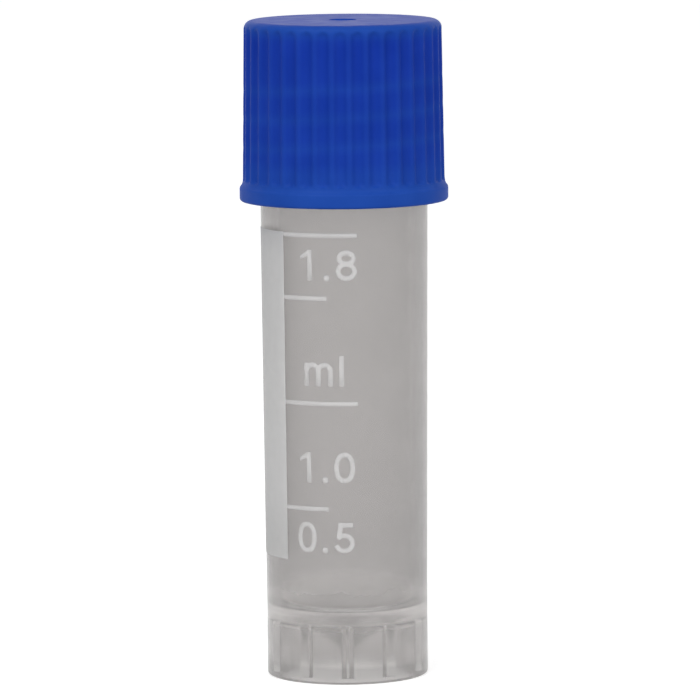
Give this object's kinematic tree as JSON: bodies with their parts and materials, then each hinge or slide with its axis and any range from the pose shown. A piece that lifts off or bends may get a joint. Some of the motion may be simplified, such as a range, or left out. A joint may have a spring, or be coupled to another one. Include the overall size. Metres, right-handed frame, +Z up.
{
  "type": "cryogenic vial",
  "caption": "Self-standing translucent cryogenic vial with a printed volume scale, a writing panel and a fluted blue screw cap over a seal ring.",
  "frame": {"origin": "centre of the ring that the vial stands on", "axes": "+Z up along the vial's axis, the printed scale faces -Y"},
  "size_m": [0.0146, 0.0146, 0.046],
  "materials": {
    "tube_plastic": "translucent natural polypropylene, satin",
    "white_ink": "thin white print",
    "seal_silicone": "soft silicone",
    "cap_plastic": "blue polypropylene, satin"
  },
  "bodies": {
    "vial": {"tube": "tube_plastic", "printed_panel_and_scale": "white_ink"},
    "seal": {"sealing_ring": "seal_silicone"},
    "cap": {"screw_cap": "cap_plastic"}
  },
  "joints": [
    {"name": "cap_rise", "type": "slide", "parent": "vial", "child": "seal", "axis": [0, 0, 1], "range_m": [0, 0.01101]},
    {"name": "cap_turn", "type": "hinge", "parent": "seal", "child": "cap", "pos_m": [0, 0, 0.0334], "axis": [0, 0, 1], "range_deg": [0, 1980]}
  ],
  "couplings": [
    {"joint": "cap_rise", "follows": "cap_turn", "m_per_rad": 0.00031831}
  ]
}
